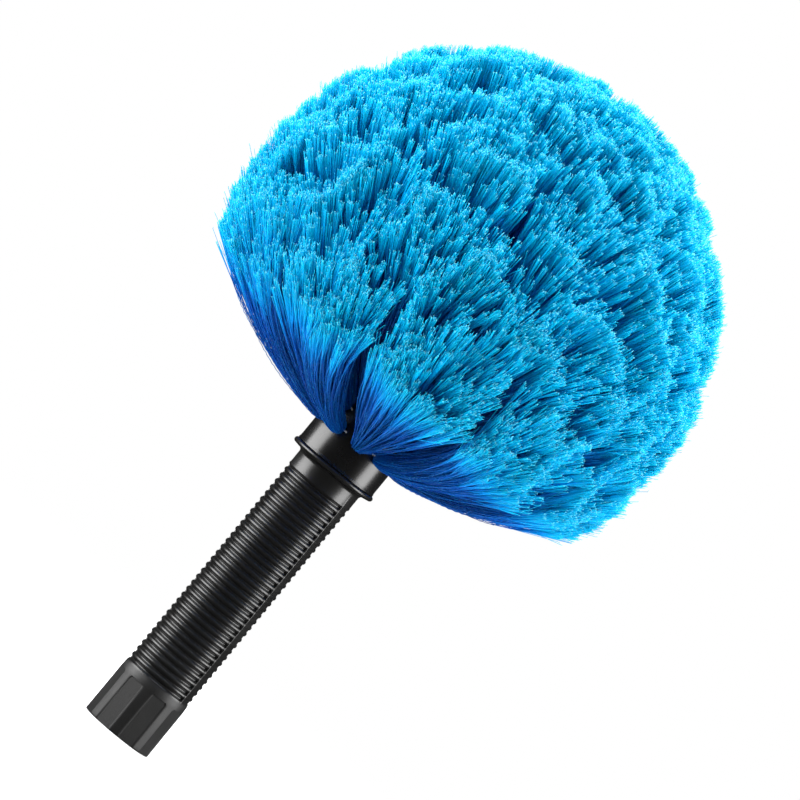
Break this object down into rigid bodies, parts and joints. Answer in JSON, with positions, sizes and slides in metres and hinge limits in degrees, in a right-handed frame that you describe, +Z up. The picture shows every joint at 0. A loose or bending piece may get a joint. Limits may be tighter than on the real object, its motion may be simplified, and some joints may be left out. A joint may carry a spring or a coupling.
{
  "type": "wheel brush",
  "caption": "Round wheel-washing brush: a ball of soft split-tip blue filament tufts on a domed black block, with a ribbed hollow black handle that takes a pole.",
  "frame": {"origin": "centre of the handle's open end, which is the mouth of the pole socket", "axes": "+Z up the handle's axis to the crown of the brush; +X to the right and +Y away from a viewer in front"},
  "size_m": [0.2052, 0.2052, 0.3244],
  "materials": {
    "handle_plastic": "satin moulded polypropylene",
    "block_plastic": "satin moulded polypropylene",
    "anchor_steel": "bright drawn wire",
    "filament": "crimped polyester filament with flagged tips"
  },
  "bodies": {
    "root": {"handle": "handle_plastic", "brush_block": "block_plastic", "anchor_wires": "anchor_steel", "rim_tuft_01": "filament", "rim_tuft_02": "filament", "rim_tuft_03": "filament", "rim_tuft_04": "filament", "rim_tuft_05": "filament", "rim_tuft_06": "filament", "rim_tuft_07": "filament", "rim_tuft_08": "filament", "rim_tuft_09": "filament", "rim_tuft_10": "filament", "rim_tuft_11": "filament", "lower_tuft_01": "filament", "lower_tuft_02": "filament", "lower_tuft_03": "filament", "lower_tuft_04": "filament", "lower_tuft_05": "filament", "lower_tuft_06": "filament", "lower_tuft_07": "filament", "lower_tuft_08": "filament", "lower_tuft_09": "filament", "lower_tuft_10": "filament", "lower_tuft_11": "filament", "middle_tuft_01": "filament", "middle_tuft_02": "filament", "middle_tuft_03": "filament", "middle_tuft_04": "filament", "middle_tuft_05": "filament", "middle_tuft_06": "filament", "middle_tuft_07": "filament", "middle_tuft_08": "filament", "middle_tuft_09": "filament", "middle_tuft_10": "filament", "upper_tuft_01": "filament", "upper_tuft_02": "filament", "upper_tuft_03": "filament", "upper_tuft_04": "filament", "upper_tuft_05": "filament", "upper_tuft_06": "filament", "crown_tuft": "filament"}
  },
  "joints": []
}
